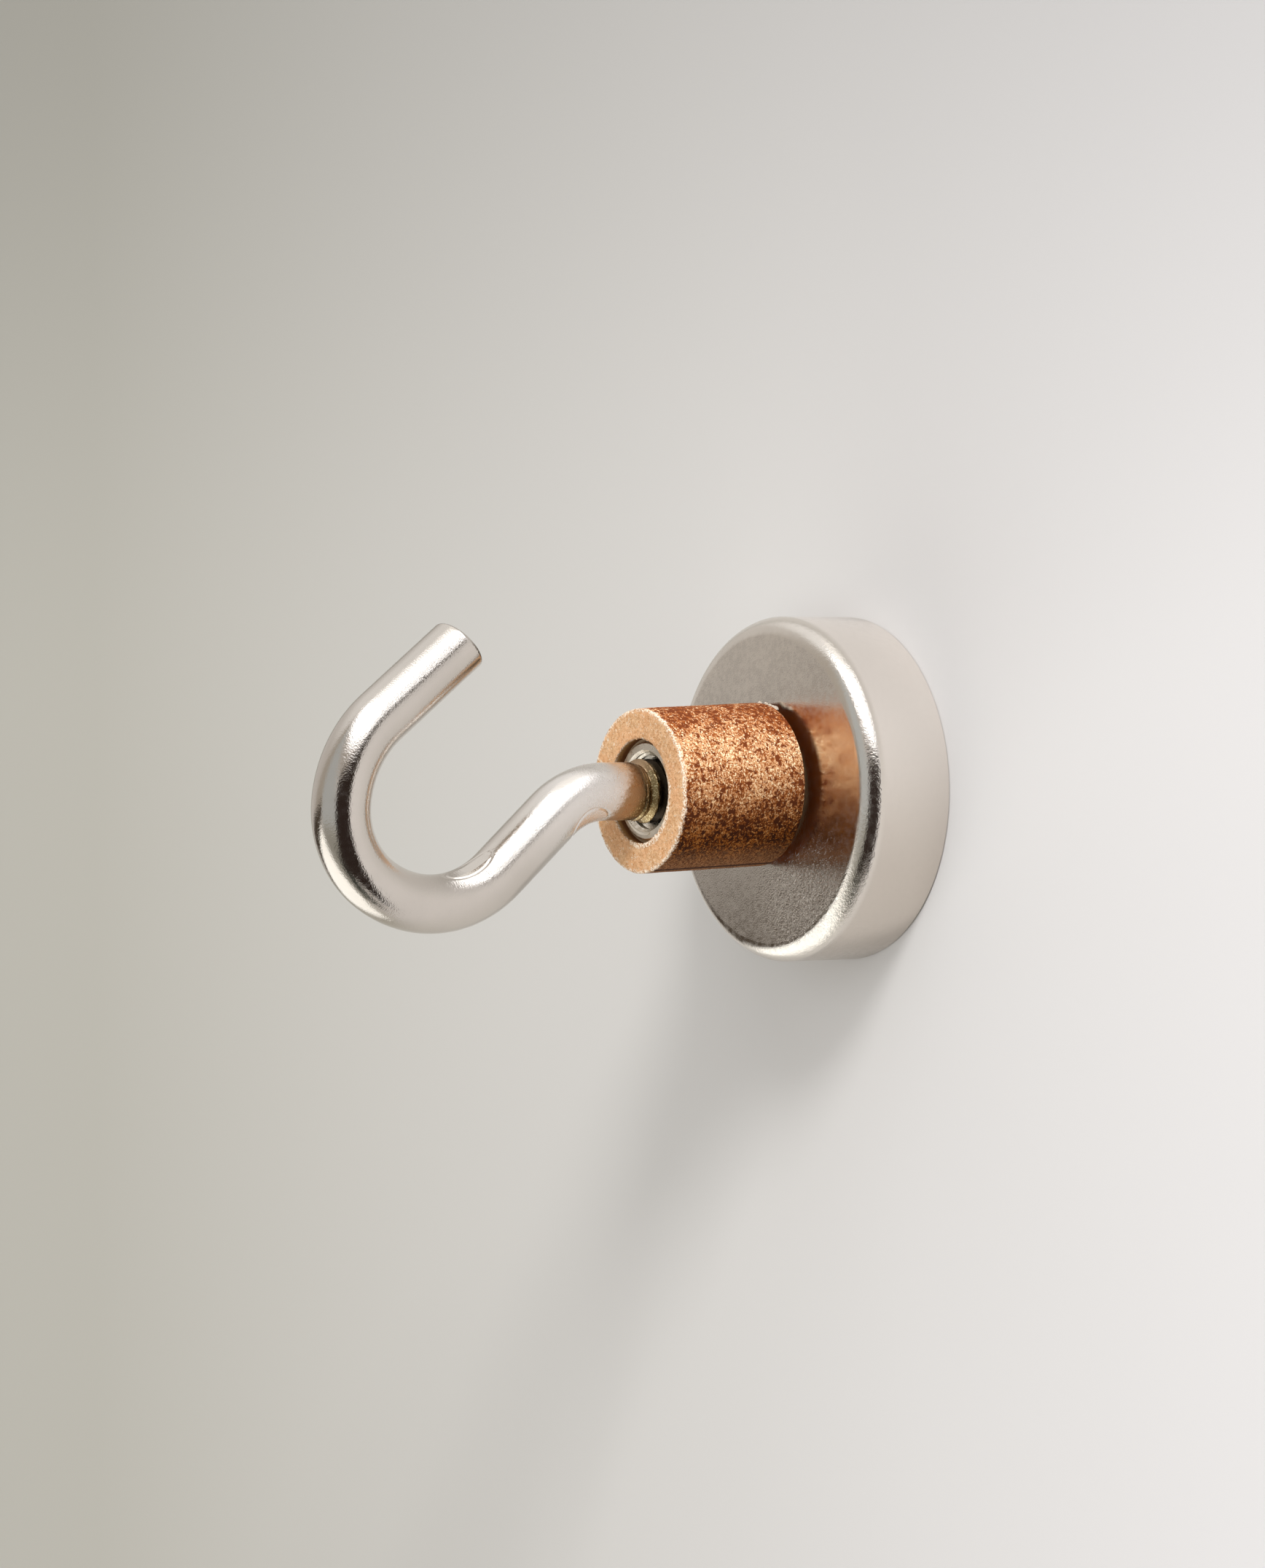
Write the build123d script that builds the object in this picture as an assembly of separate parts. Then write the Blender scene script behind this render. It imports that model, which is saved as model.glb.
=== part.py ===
from build123d import *
import os
from math import atan, atan2, copysign, degrees, floor, radians, tan

# Magnetic hook, in millimetres. The origin is the centre of the face that meets the steel
# surface. +Y points into that surface, +Z is up, and the hook stands out towards -Y, bent in
# the plane X = 0. Every turned piece shares the Y axis.

# Steel cup
cup_diameter = 32.0
cup_height = 9.3
cup_wall = 2.4
cup_floor = 2.8
cup_edge_radius = 1.45
cup_rim_chamfer = 0.3

# Magnet, flush with the cup's rim, and what bonds it in
magnet_chamfer = 0.3
magnet_adhesive_thickness = 0.15
potting_width = 0.7
potting_recess = 0.35

# Threaded bush, riveted through the cup's floor
bush_wall = 1.0
bush_recess = 0.75
bush_edge_chamfer = 0.15
countersink_depth = 0.25
countersink_angle = 90.0
spigot_step = 1.3
rivet_head_spread = 1.0
rivet_head_depth = 1.2

# Sleeve over the bush, and the glue that holds it there
glue_thickness = 0.35
glue_recess = 0.4
glue_bead_width = 0.9
sleeve_wall = 2.7
sleeve_length = 13.35
sleeve_edge_chamfer = 0.12
sleeve_standoff = 0.92

# Hook: round wire with a rolled thread on its shank, bent in one plane
wire_diameter = 5.3
hook_lead = 3.85
neck_bend_radius = 8.2
neck_bend_angle = 41.4
neck_straight = 7.8
under_bend_radius = 10.4
under_bend_angle = 77.0
front_bend_radius = 8.0
front_bend_angle = 60.6
rise_bend_radius = 10.9
rise_bend_angle = 45.4
tip_straight = 10.7
tip_chamfer = 0.25

# Thread of shank and bush. Rolling raises its crests above the wire.
thread_rise = 0.3
thread_pitch = 1.0
thread_groove_depth = 0.5
thread_crest_width = 0.12
thread_valley_width = 0.16
thread_fade_length = 0.9
thread_showing = 0.9
shank_end_chamfer = 0.4
bush_thread_depth = 10.6
shank_end_gap = 1.0
drill_point_angle = 118.0

# Clearances and overruns
running_clearance = 0.05
bond_clearance = 0.02
weld_overlap = 0.05

# Places along the axis, worked out from the sizes above
cup_face_y = -cup_height
inner_floor_y = cup_face_y + cup_floor
sleeve_rear_y = cup_face_y - sleeve_standoff
sleeve_mouth_y = sleeve_rear_y - sleeve_length
bush_face_y = sleeve_mouth_y + bush_recess
thread_bottom_y = bush_face_y + bush_thread_depth
shank_end_y = thread_bottom_y - shank_end_gap
shank_thread_end_y = sleeve_mouth_y - thread_showing
neck_bend_y = sleeve_mouth_y - hook_lead

# Radii, from the cup's wall inwards, and from the wire outwards to the sleeve
cup_bore_radius = cup_diameter / 2 - cup_wall
magnet_radius = cup_bore_radius - potting_width
wire_radius = wire_diameter / 2
shank_crest_radius = wire_radius + thread_rise
shank_root_radius = shank_crest_radius - thread_groove_depth
bush_crest_radius = shank_crest_radius + running_clearance
bush_root_radius = bush_crest_radius + thread_groove_depth
bush_radius = bush_root_radius + bush_wall
spigot_radius = bush_radius - spigot_step
rivet_head_radius = spigot_radius + rivet_head_spread
sleeve_bore_radius = bush_radius + glue_thickness
sleeve_radius = sleeve_bore_radius + sleeve_wall


def turned(*outline):
    """Solid turned about the Y axis from its half outline of (radius, y) points."""
    return revolve(make_face(Polyline(*outline, close=True)), Axis.Y)


def thread_section(path, root_step, crest_step):
    """Flat section of one thread ridge, set at the start of its path, from root to crest."""
    start = path @ 0
    outwards = Vector(start.X, 0, start.Z).normalized()
    half_root = (thread_pitch - thread_valley_width) / 2
    half_crest = thread_crest_width / 2
    outline = Polyline(
        (root_step, half_root),
        (crest_step, half_crest),
        (crest_step, -half_crest),
        (root_step, -half_root),
        close=True,
    )
    return Plane(origin=start, x_dir=outwards, z_dir=path % 0) * make_face(outline)


def thread_ridge(front_y, rear_y, root_radius, crest_radius):
    """Ridge of as many whole turns as fit, which fades into its root towards front_y."""
    sink = root_radius - crest_radius
    sink_angle = degrees(atan(sink / thread_fade_length))
    fade_y = front_y + thread_fade_length
    length = floor((rear_y - fade_y) / thread_pitch) * thread_pitch
    turns = Helix(thread_pitch, length, root_radius, direction=(0, -1, 0))
    turns = Pos(0, fade_y + length, 0) * turns
    fade = Helix(
        thread_pitch,
        thread_fade_length,
        root_radius,
        direction=(0, -1, 0),
        cone_angle=sink_angle,
    )
    first, last = fade @ 0, turns @ 1
    turn_to_last = degrees(atan2(first.Z, first.X) - atan2(last.Z, last.X))
    fade = Pos(0, fade_y, 0) * Rot(0, turn_to_last, 0) * fade
    root_step = copysign(weld_overlap, sink)
    ridge = sweep(thread_section(turns, root_step, -sink), path=turns, is_frenet=True)
    return ridge + sweep(thread_section(fade, root_step, -sink), path=fade, is_frenet=True)


def make_steel_cup():
    """Deep-drawn pot, open towards the steel surface, countersunk inside for the rivet head."""
    hole = spigot_radius + bond_clearance
    head = rivet_head_radius + bond_clearance
    cup = turned(
        (hole, cup_face_y),
        (cup_diameter / 2, cup_face_y),
        (cup_diameter / 2, 0),
        (cup_bore_radius, 0),
        (cup_bore_radius, inner_floor_y),
        (head, inner_floor_y),
        (hole, inner_floor_y - rivet_head_depth),
    )
    front_edge = cup.edges().group_by(Axis.Y)[0].sort_by(SortBy.RADIUS)[-1]
    cup = fillet(front_edge, cup_edge_radius)
    return chamfer(cup.edges().group_by(Axis.Y)[-1], cup_rim_chamfer)


def make_magnet_disc():
    """Magnet disc, its outer face flush with the cup's rim."""
    back_y = inner_floor_y + magnet_adhesive_thickness
    disc = turned((0, 0), (magnet_radius, 0), (magnet_radius, back_y), (0, back_y))
    return chamfer(disc.edges().group_by(Axis.Y)[-1], magnet_chamfer)


def make_magnet_adhesive():
    """Thin film between the cup's floor and the magnet."""
    front_y = inner_floor_y + magnet_adhesive_thickness
    return turned((0, inner_floor_y), (magnet_radius, inner_floor_y), (magnet_radius, front_y), (0, front_y))


def make_potting_ring():
    """Resin in the gap between magnet and cup wall, a little below the rim."""
    inner = magnet_radius + bond_clearance
    outer = cup_bore_radius - bond_clearance
    top_y = -potting_recess
    return turned((inner, inner_floor_y), (outer, inner_floor_y), (outer, top_y), (inner, top_y))


def make_threaded_bush():
    """Bush with a blind threaded hole, its spigot riveted into the cup's floor."""
    drill_point = bush_root_radius / tan(radians(drill_point_angle / 2))
    countersink_radius = bush_root_radius + countersink_depth * tan(radians(countersink_angle / 2))
    thread_front_y = bush_face_y + countersink_depth
    bush = turned(
        (0, thread_bottom_y + drill_point),
        (bush_root_radius, thread_bottom_y),
        (bush_root_radius, thread_front_y),
        (countersink_radius, bush_face_y),
        (bush_radius - bush_edge_chamfer, bush_face_y),
        (bush_radius, bush_face_y + bush_edge_chamfer),
        (bush_radius, cup_face_y),
        (spigot_radius, cup_face_y),
        (spigot_radius, inner_floor_y - rivet_head_depth),
        (rivet_head_radius, inner_floor_y),
        (0, inner_floor_y),
    )
    thread_rear_y = thread_bottom_y - thread_pitch
    return bush + thread_ridge(thread_front_y, thread_rear_y, bush_root_radius, bush_crest_radius)


def make_sleeve():
    """Short fibrous tube over the bush, standing a little off the cup."""
    tube = turned(
        (sleeve_bore_radius, sleeve_rear_y),
        (sleeve_radius, sleeve_rear_y),
        (sleeve_radius, sleeve_mouth_y),
        (sleeve_bore_radius, sleeve_mouth_y),
    )
    return chamfer(tube.edges().filter_by(GeomType.CIRCLE), sleeve_edge_chamfer)


def make_sleeve_glue():
    """Glue between bush and sleeve, with the bead that keeps the sleeve off the cup."""
    inner = bush_radius + bond_clearance
    outer = sleeve_bore_radius - bond_clearance
    bead = bush_radius + glue_bead_width
    front_y = bush_face_y + glue_recess
    return turned(
        (inner, cup_face_y),
        (bead, cup_face_y),
        (bead, sleeve_rear_y),
        (outer, sleeve_rear_y),
        (outer, front_y),
        (inner, front_y),
    )


def hook_centre_line():
    """Centre line of the bent wire, from the end of its thread to the cut tip."""
    with BuildLine(Plane.YZ) as line:
        lead = Line((shank_thread_end_y, 0), (neck_bend_y, 0))
        neck = JernArc(lead @ 1, lead % 1, neck_bend_radius, neck_bend_angle)
        slope = Line(neck @ 1, neck @ 1 + (neck % 1) * neck_straight)
        under = JernArc(slope @ 1, slope % 1, under_bend_radius, -under_bend_angle)
        front = JernArc(under @ 1, under % 1, front_bend_radius, -front_bend_angle)
        rise = JernArc(front @ 1, front % 1, rise_bend_radius, -rise_bend_angle)
        Line(rise @ 1, rise @ 1 + (rise % 1) * tip_straight)
    return line.wires()[0]


def make_hook():
    """Wire bent to an open hook, with its threaded shank and a square-cut, eased tip."""
    path = hook_centre_line()
    start = Plane(origin=path @ 0, z_dir=path % 0)
    wire = sweep(start * Circle(wire_radius), path=path)
    tip = wire.faces().filter_by(GeomType.PLANE).sort_by_distance(path @ 1)[0]
    wire = chamfer(tip.edges(), tip_chamfer)
    shoulder_y = shank_thread_end_y + (wire_radius - shank_root_radius)
    shank = turned(
        (0, shank_end_y),
        (shank_root_radius - shank_end_chamfer, shank_end_y),
        (shank_root_radius, shank_end_y - shank_end_chamfer),
        (shank_root_radius, shoulder_y),
        (wire_radius, shank_thread_end_y),
        (0, shank_thread_end_y),
    )
    thread_rear_y = shank_end_y - thread_pitch
    ridge = thread_ridge(shank_thread_end_y, thread_rear_y, shank_root_radius, shank_crest_radius)
    return wire + shank + ridge


pieces = {
    "steel_cup": make_steel_cup(),
    "magnet_disc": make_magnet_disc(),
    "magnet_adhesive": make_magnet_adhesive(),
    "potting_ring": make_potting_ring(),
    "threaded_bush": make_threaded_bush(),
    "sleeve": make_sleeve(),
    "sleeve_glue": make_sleeve_glue(),
    "hook": make_hook(),
}

os.makedirs("parts", exist_ok=True)
for name, solid in pieces.items():
    solid.label = name
    export_step(solid, f"parts/{name}.step")
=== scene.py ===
from math import atan2, cos, hypot, pi, radians, sin

import bmesh
import bpy
from mathutils import Matrix, Vector, noise


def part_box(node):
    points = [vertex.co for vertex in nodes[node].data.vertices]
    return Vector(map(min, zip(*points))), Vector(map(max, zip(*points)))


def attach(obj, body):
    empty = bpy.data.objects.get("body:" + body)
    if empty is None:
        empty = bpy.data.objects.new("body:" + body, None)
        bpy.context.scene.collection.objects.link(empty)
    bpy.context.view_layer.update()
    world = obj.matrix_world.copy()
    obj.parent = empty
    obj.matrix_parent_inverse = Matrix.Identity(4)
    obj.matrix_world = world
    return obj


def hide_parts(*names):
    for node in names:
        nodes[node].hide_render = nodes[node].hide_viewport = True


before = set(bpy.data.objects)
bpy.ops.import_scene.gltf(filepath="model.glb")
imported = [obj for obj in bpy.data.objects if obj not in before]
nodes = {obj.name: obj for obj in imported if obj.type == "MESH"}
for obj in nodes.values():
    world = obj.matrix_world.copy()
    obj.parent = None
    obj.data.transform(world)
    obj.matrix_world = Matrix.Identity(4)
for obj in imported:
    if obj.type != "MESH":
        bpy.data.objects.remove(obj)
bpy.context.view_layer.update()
mm = 0.001

# Camera: level with the part and to its right, 56 degrees round from straight in front. The
# photograph's frame sets the lens and the shift.
photo_width = 1736
photo_height = 2151
target = Vector((0, -20, 0)) * mm
target_pixel = (920.6, 1084.6)
pixels_per_metre = 14984
view_azimuth = radians(56.156)
view_elevation = radians(1.2)
view_distance = 500 * mm
nearest_seen = 10 * mm
sensor = 36

camera_data = bpy.data.cameras.new("camera")
camera_data.sensor_width = sensor
camera_data.lens = sensor * pixels_per_metre * view_distance / photo_height
camera_data.shift_x = (photo_width / 2 - target_pixel[0]) / photo_height
camera_data.shift_y = (target_pixel[1] - photo_height / 2) / photo_height
camera_data.clip_start = nearest_seen
camera = bpy.data.objects.new("camera", camera_data)
bpy.context.scene.collection.objects.link(camera)
bpy.context.scene.camera = camera
towards_camera = Vector((
    sin(view_azimuth) * cos(view_elevation),
    -cos(view_azimuth) * cos(view_elevation),
    sin(view_elevation),
))
camera.location = target + view_distance * towards_camera
camera.rotation_euler = towards_camera.to_track_quat("Z", "Y").to_euler()

# Steel cup: a pot drawn from mild steel, open towards the wall, with a rolled front edge.
# It is barrel-plated in nickel, which leaves a satin skin with a fine grain.
cup_low, cup_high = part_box("steel_cup")
cup_radius = cup_high.x
cup_face_y = cup_low.y
cup_wall = 2.4 * mm
cup_floor = 2.8 * mm
cup_rim_chamfer = 0.3 * mm
edge_segments = 3
cup_hole_radius = 3.22 * mm
cup_steps = 320
spin_sectors = 8
join_distance = 0.001 * mm
crease_angle = radians(35)

# The rolled edge, from the face to the side: the radius of each arc, where it ends, its steps.
edge_arcs = ((1.6 * mm, radians(47), 12), (2.4 * mm, radians(75), 8), (0.25 * mm, radians(90), 4))

# Places on the cup's plate, as depths behind its face: pits along the rolled edge, then the side, painted
# with shade below and with light above. Fine folds of the plate wrinkle the face at the lower right.
pits_start = (0.05 * mm, 0.30 * mm)
pits_end = (1.6 * mm, 1.9 * mm)
pit_size = 0.32 * mm
pit_depth = 0.028 * mm
side_start = (1.6 * mm, 2.2 * mm)
side_painted_shading_half_fade = 8 * mm
side_painted_shade_colour = (0.69, 0.625, 0.56)
side_painted_light_colour = (0.93, 0.875, 0.82)
wrinkle_place = Vector((7, -9.3, -10)) * mm
wrinkle_fade = (3.3 * mm, 11 * mm)
fold_size = 0.4 * mm
fold_width = 0.12
fold_depth = 0.007 * mm


def turned(outline, steps, rounds, finest=None):
    """Mesh turned about the Y axis from (radius, y) points, its listed corners rounded."""
    bm = bmesh.new()
    points = [bm.verts.new((radius, y, 0)) for radius, y in outline]
    for first, second in zip(points, points[1:] + points[:1]):
        bm.edges.new((first, second))
    for corner, (size, segments) in rounds.items():
        bmesh.ops.bevel(
            bm,
            geom=[points[corner]],
            offset=size,
            offset_type="OFFSET",
            segments=segments,
            profile=0.5,
            affect="VERTICES",
            material=-1,
        )
    if finest:
        for edge in bm.edges[:]:
            cuts = round(edge.calc_length() / finest) - 1
            if cuts > 0:
                bmesh.ops.subdivide_edges(bm, edges=[edge], cuts=cuts)
    sector = 2 * pi / spin_sectors
    copies = spin_sectors - 1
    about = {"cent": (0, 0, 0), "axis": (0, 1, 0)}
    section = bm.verts[:] + bm.edges[:]
    bmesh.ops.spin(bm, geom=section, angle=sector, steps=steps // spin_sectors, **about)
    bmesh.ops.spin(bm, geom=bm.faces[:], angle=copies * sector, steps=copies, use_duplicate=True, **about)
    bmesh.ops.remove_doubles(bm, verts=bm.verts[:], dist=join_distance)
    bmesh.ops.recalc_face_normals(bm, faces=bm.faces[:])
    return bm


def shown(bm, name, material):
    """Object at the origin from a finished mesh."""
    mesh = bpy.data.meshes.new(name)
    bm.to_mesh(mesh)
    bm.free()
    mesh.materials.append(material)
    piece = bpy.data.objects.new(name, mesh)
    bpy.context.scene.collection.objects.link(piece)
    return piece


def placed(bm, name, body, slot, material, *replaced):
    """Smooth object from a finished mesh, riding on its body in place of CAD nodes."""
    piece = shown(bm, name, material)
    piece.data.shade_smooth()
    piece.data.set_sharp_from_angle(angle=crease_angle)
    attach(piece, body)
    if replaced:
        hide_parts(*replaced)


class Nodes:
    """Short ways to add and join the shader nodes of one tree."""

    def __init__(self, tree):
        self.tree = tree

    def add(self, kind, **properties):
        node = self.tree.nodes.new("ShaderNode" + kind)
        for key, value in properties.items():
            setattr(node, key, value)
        return node

    def feed(self, socket, value):
        if isinstance(value, bpy.types.NodeSocket):
            self.tree.links.new(value, socket)
        elif socket.type == "RGBA":
            socket.default_value = (*value, 1)
        else:
            socket.default_value = value

    def calc(self, operation, first, second=0.0):
        node = self.add("Math", operation=operation)
        self.feed(node.inputs[0], first)
        self.feed(node.inputs[1], second)
        return node.outputs[0]

    def measure(self, operation, first, second=(0, 0, 0)):
        """Length, distance or dot product of vectors."""
        node = self.add("VectorMath", operation=operation)
        self.feed(node.inputs[0], first)
        self.feed(node.inputs[1], second)
        return node.outputs["Value"]

    def vector(self, x=0.0, y=0.0, z=0.0):
        node = self.add("CombineXYZ")
        for socket, part in zip(node.inputs, (x, y, z)):
            self.feed(socket, part)
        return node.outputs["Vector"]

    def ramp(self, value, low, high, start=0.0, end=1.0):
        """Start where the value is low, end where it is high, smooth between the two."""
        node = self.add("MapRange", interpolation_type="SMOOTHSTEP")
        for socket, part in zip(node.inputs, (value, low, high, start, end)):
            self.feed(socket, part)
        return node.outputs["Result"]

    def mix(self, share, first, second):
        node = self.add("Mix", data_type="RGBA")
        self.feed(node.inputs["Factor"], share)
        self.feed(node.inputs[6], first)
        self.feed(node.inputs[7], second)
        return node.outputs[2]


class Finish(Nodes):
    """A material in the making, with textures laid out in the piece's own coordinates."""

    def __init__(self, name, **settings):
        self.material = bpy.data.materials.new(name)
        self.material.use_nodes = True
        super().__init__(self.material.node_tree)
        self.shader = self.tree.nodes["Principled BSDF"]
        self.set(**settings)
        self.place = self.add("TexCoord").outputs["Object"]
        axes = self.add("SeparateXYZ")
        self.feed(axes.inputs[0], self.place)
        self.x, self.y, self.z = axes.outputs

    def set(self, **settings):
        """Feeds sockets of the shader, named with underscores for their spaces."""
        for socket, value in settings.items():
            self.feed(self.shader.inputs[socket.replace("_", " ")], value)

    def noise(self, size, detail=2.0, roughness=0.5, distortion=0.0):
        """Noise from 0 to 1 whose features measure about one size, in metres."""
        texture = self.add("TexNoise")
        self.feed(texture.inputs["Vector"], self.place)
        self.feed(texture.inputs["Scale"], 1 / size)
        self.feed(texture.inputs["Detail"], detail)
        self.feed(texture.inputs["Roughness"], roughness)
        self.feed(texture.inputs["Distortion"], distortion)
        return texture.outputs["Fac"]

    def sway(self, pattern, reach):
        """A pattern of 0 to 1, centred on zero and stretched to a reach."""
        return self.calc("MULTIPLY", self.calc("SUBTRACT", pattern, 0.5), reach)

    def relief(self, height, depth, below=None):
        """Normal roughened by a height of 0 to 1 times a depth in metres."""
        node = self.add("Bump")
        self.feed(node.inputs["Distance"], depth)
        self.feed(node.inputs["Height"], height)
        if below is not None:
            self.feed(node.inputs["Normal"], below)
        return node.outputs["Normal"]


def nickel(name, colour, roughness, grain=0.17 * mm, grain_depth=0.017 * mm):
    """Nickel plate: a warm grey metal whose grain frays the edges of what it mirrors."""
    cloud_size = 5 * mm
    cloud_limits = (0.35, 0.65)
    cloud_shade = 0.96
    haze_size = 0.5 * mm
    haze_limits = (0.3, 0.7)
    dullness_limits = (roughness * 0.7, roughness * 1.35)
    swell_size = 2.5 * mm
    swell_depth = 0.005 * mm
    plate = Finish(name, Metallic=1.0)
    cloud = plate.ramp(plate.noise(cloud_size, detail=3), *cloud_limits)
    haze = plate.noise(haze_size, detail=3)
    swell = plate.relief(plate.noise(swell_size, detail=1), swell_depth)
    plate.colour = plate.mix(cloud, colour, [part * cloud_shade for part in colour])
    plate.dullness = plate.ramp(haze, *haze_limits, *dullness_limits)
    plate.peel = plate.relief(plate.noise(grain, detail=1), grain_depth, swell)
    plate.set(Base_Color=plate.colour, Roughness=plate.dullness, Normal=plate.peel)
    return plate


edge_points = [(0.0, 0.0)]
across, back, angle = 0.0, 0.0, 0.0
for arc_radius, arc_end, arc_steps in edge_arcs:
    arc_step = (arc_end - angle) / arc_steps
    for step in range(arc_steps):
        across += arc_radius * (sin(angle + arc_step) - sin(angle))
        back += arc_radius * (cos(angle) - cos(angle + arc_step))
        angle += arc_step
        edge_points.append((across, back))
edge_points = [(cup_radius - across + x, cup_face_y + y) for x, y in edge_points]
cup = turned(
    [
        (cup_hole_radius, cup_face_y),
        *edge_points,
        (cup_radius, 0),
        (cup_radius - cup_wall, 0),
        (cup_radius - cup_wall, cup_face_y + cup_floor),
        (cup_hole_radius, cup_face_y + cup_floor),
    ],
    cup_steps,
    {corner: (cup_rim_chamfer, edge_segments) for corner in (-4, -3)},
)

cup_plate = nickel(
    "cup_nickel",
    colour=(0.80, 0.745, 0.68),
    roughness=0.20,
    grain=0.16 * mm,
    grain_depth=0.005 * mm,
)
behind_face = cup_plate.calc("SUBTRACT", cup_plate.y, cup_face_y)
pits = cup_plate.noise(pit_size, detail=3, roughness=0.6)
pits = cup_plate.calc("MULTIPLY", pits, cup_plate.ramp(behind_face, *pits_start))
pits = cup_plate.calc("MULTIPLY", pits, cup_plate.ramp(behind_face, *pits_end, 1.0, 0.0))
pitted = cup_plate.relief(pits, pit_depth, cup_plate.peel)
from_wrinkles = cup_plate.measure("DISTANCE", cup_plate.place, wrinkle_place)
wrinkled = cup_plate.ramp(from_wrinkles, *wrinkle_fade, 1.0, 0.0)
folds = cup_plate.calc("ABSOLUTE", cup_plate.sway(cup_plate.noise(fold_size, distortion=1.0), 1.0))
folds = cup_plate.calc("MULTIPLY", cup_plate.ramp(folds, 0.0, fold_width), wrinkled)
# Painted shade darkens the side below, and painted light brightens it above.
height = cup_plate.ramp(cup_plate.z, -side_painted_shading_half_fade, side_painted_shading_half_fade)
side_painted_shading = cup_plate.mix(height, side_painted_shade_colour, side_painted_light_colour)
on_side = cup_plate.ramp(behind_face, *side_start)
cup_plate.set(
    Base_Color=cup_plate.mix(on_side, cup_plate.colour, side_painted_shading),
    Normal=cup_plate.relief(folds, fold_depth, pitted),
)
placed(cup, "cup_shell", "magnet_body", "cup_nickel", cup_plate.material, "steel_cup")

# Magnet, its bonding film and the resin round it: a nickel-plated disc, glued to the cup's
# floor and potted with black resin a little below the rim. From outside, only the back shows
# the disc and the resin.
magnet_plate = nickel("magnet_nickel", colour=(0.62, 0.60, 0.57), roughness=0.26)
nodes["magnet_disc"].material_slots[0].material = magnet_plate.material


def cured(name, colour, roughness, lump_size, lump_depth):
    """Set glue or resin: one colour, with soft lumps."""
    finish = Finish(name, Base_Color=colour, Roughness=roughness)
    finish.set(Normal=finish.relief(finish.noise(lump_size), lump_depth))
    return finish.material


resin = cured(
    "potting_resin",
    colour=(0.018, 0.018, 0.02),
    roughness=0.35,
    lump_size=0.8 * mm,
    lump_depth=0.03 * mm,
)
film = cured(
    "adhesive_film",
    colour=(0.42, 0.36, 0.26),
    roughness=0.4,
    lump_size=0.5 * mm,
    lump_depth=0.02 * mm,
)
nodes["potting_ring"].material_slots[0].material = resin
nodes["magnet_adhesive"].material_slots[0].material = film

# Threaded bush: turned from steel bar, bored and tapped, its face countersunk. It is riveted
# through the cup's floor and plated with it.
bush_plate = nickel("bush_nickel", colour=(0.95, 0.88, 0.76), roughness=0.36, grain=0.15 * mm)
nodes["threaded_bush"].material_slots[0].material = bush_plate.material

# Sleeve: a short tube of leather board, dyed and speckled outside, raw and fibrous at its cut
# ends. It slips over the bush and is glued there, a little off the cup and not quite straight.
sleeve_low, sleeve_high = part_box("sleeve")
sleeve_radius = sleeve_high.x
sleeve_mouth_y = sleeve_low.y
sleeve_rear_y = sleeve_high.y
sleeve_bore_radius = 4.85 * mm
sleeve_wall = sleeve_radius - sleeve_bore_radius
sleeve_edge = 0.14 * mm
sleeve_steps = 400
sleeve_finest = 0.17 * mm
sleeve_lean = 0.036
bore_lean_share = 0.5

# Its surface: soft dents and small nicks all over, and edges torn over a short reach, worn away
# outside and hanging into the bore.
dent_size = 2.5 * mm
dent_depth = 0.03 * mm
nick_size = 0.30 * mm
nick_depth = 0.015 * mm
tear_size = 0.11 * mm
tear_share = 0.7
fray_reach = 0.55 * mm
fray_outside = 0.10 * mm
fray_bore = 0.22 * mm
fray_rear = 0.06 * mm
end_roughness = 0.05 * mm

sleeve = turned(
    [
        (sleeve_bore_radius, sleeve_mouth_y),
        (sleeve_radius, sleeve_mouth_y),
        (sleeve_radius, sleeve_rear_y),
        (sleeve_bore_radius, sleeve_rear_y),
    ],
    sleeve_steps,
    {corner: (sleeve_edge, edge_segments) for corner in range(4)},
    sleeve_finest,
)
for vert in sleeve.verts:
    radius = hypot(vert.co.x, vert.co.z)
    outwards = Vector((vert.co.x, 0, vert.co.z)) / radius
    past_mouth = vert.co.y - sleeve_mouth_y
    to_end = min(past_mouth, sleeve_rear_y - vert.co.y)
    to_skin = min(sleeve_radius - radius, radius - sleeve_bore_radius)
    corner = max(0.0, 1 - (to_end + to_skin) / fray_reach)
    nicks = noise.noise(vert.co / nick_size)
    ragged = abs(nicks) + tear_share * abs(noise.noise(vert.co / tear_size))
    dents = noise.noise(vert.co / dent_size) * dent_depth + nicks * nick_depth
    if past_mouth > to_end:
        fray = -fray_rear * ragged
    elif radius > sleeve_radius - sleeve_wall / 2:
        fray = -fray_outside * ragged
    else:
        fray = -fray_bore * ragged
    vert.co += outwards * (fray * corner + (dents if to_skin < to_end else 0))
    if to_end < to_skin:
        pressed = (abs(nicks) + corner * ragged) * end_roughness
        vert.co.y += pressed if past_mouth == to_end else -pressed
    lean_share = bore_lean_share + (1 - bore_lean_share) * (radius - sleeve_bore_radius) / sleeve_wall
    vert.co.z += sleeve_lean * past_mouth * lean_share

fine_size = 0.17 * mm
clump_size = 0.44 * mm
patch_size = 2.4 * mm
leather = Finish("sleeve_leather", Roughness=0.75, Specular_IOR_Level=0.05)
from_mouth = leather.calc("SUBTRACT", leather.y, sleeve_mouth_y)
upright = leather.calc("SUBTRACT", leather.z, leather.calc("MULTIPLY", from_mouth, sleeve_lean))
from_axis = leather.measure("LENGTH", leather.vector(x=leather.x, z=upright))
from_skin = leather.calc("SUBTRACT", sleeve_radius, from_axis)
from_bore = leather.calc("SUBTRACT", from_axis, sleeve_bore_radius)
level = leather.calc("DIVIDE", upright, sleeve_radius)
fine = leather.noise(fine_size, detail=1.5, roughness=0.6, distortion=0.4)
clumps = leather.noise(clump_size, detail=2.5, roughness=0.55, distortion=0.6)
patches = leather.noise(patch_size, detail=3, roughness=0.6)
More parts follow.
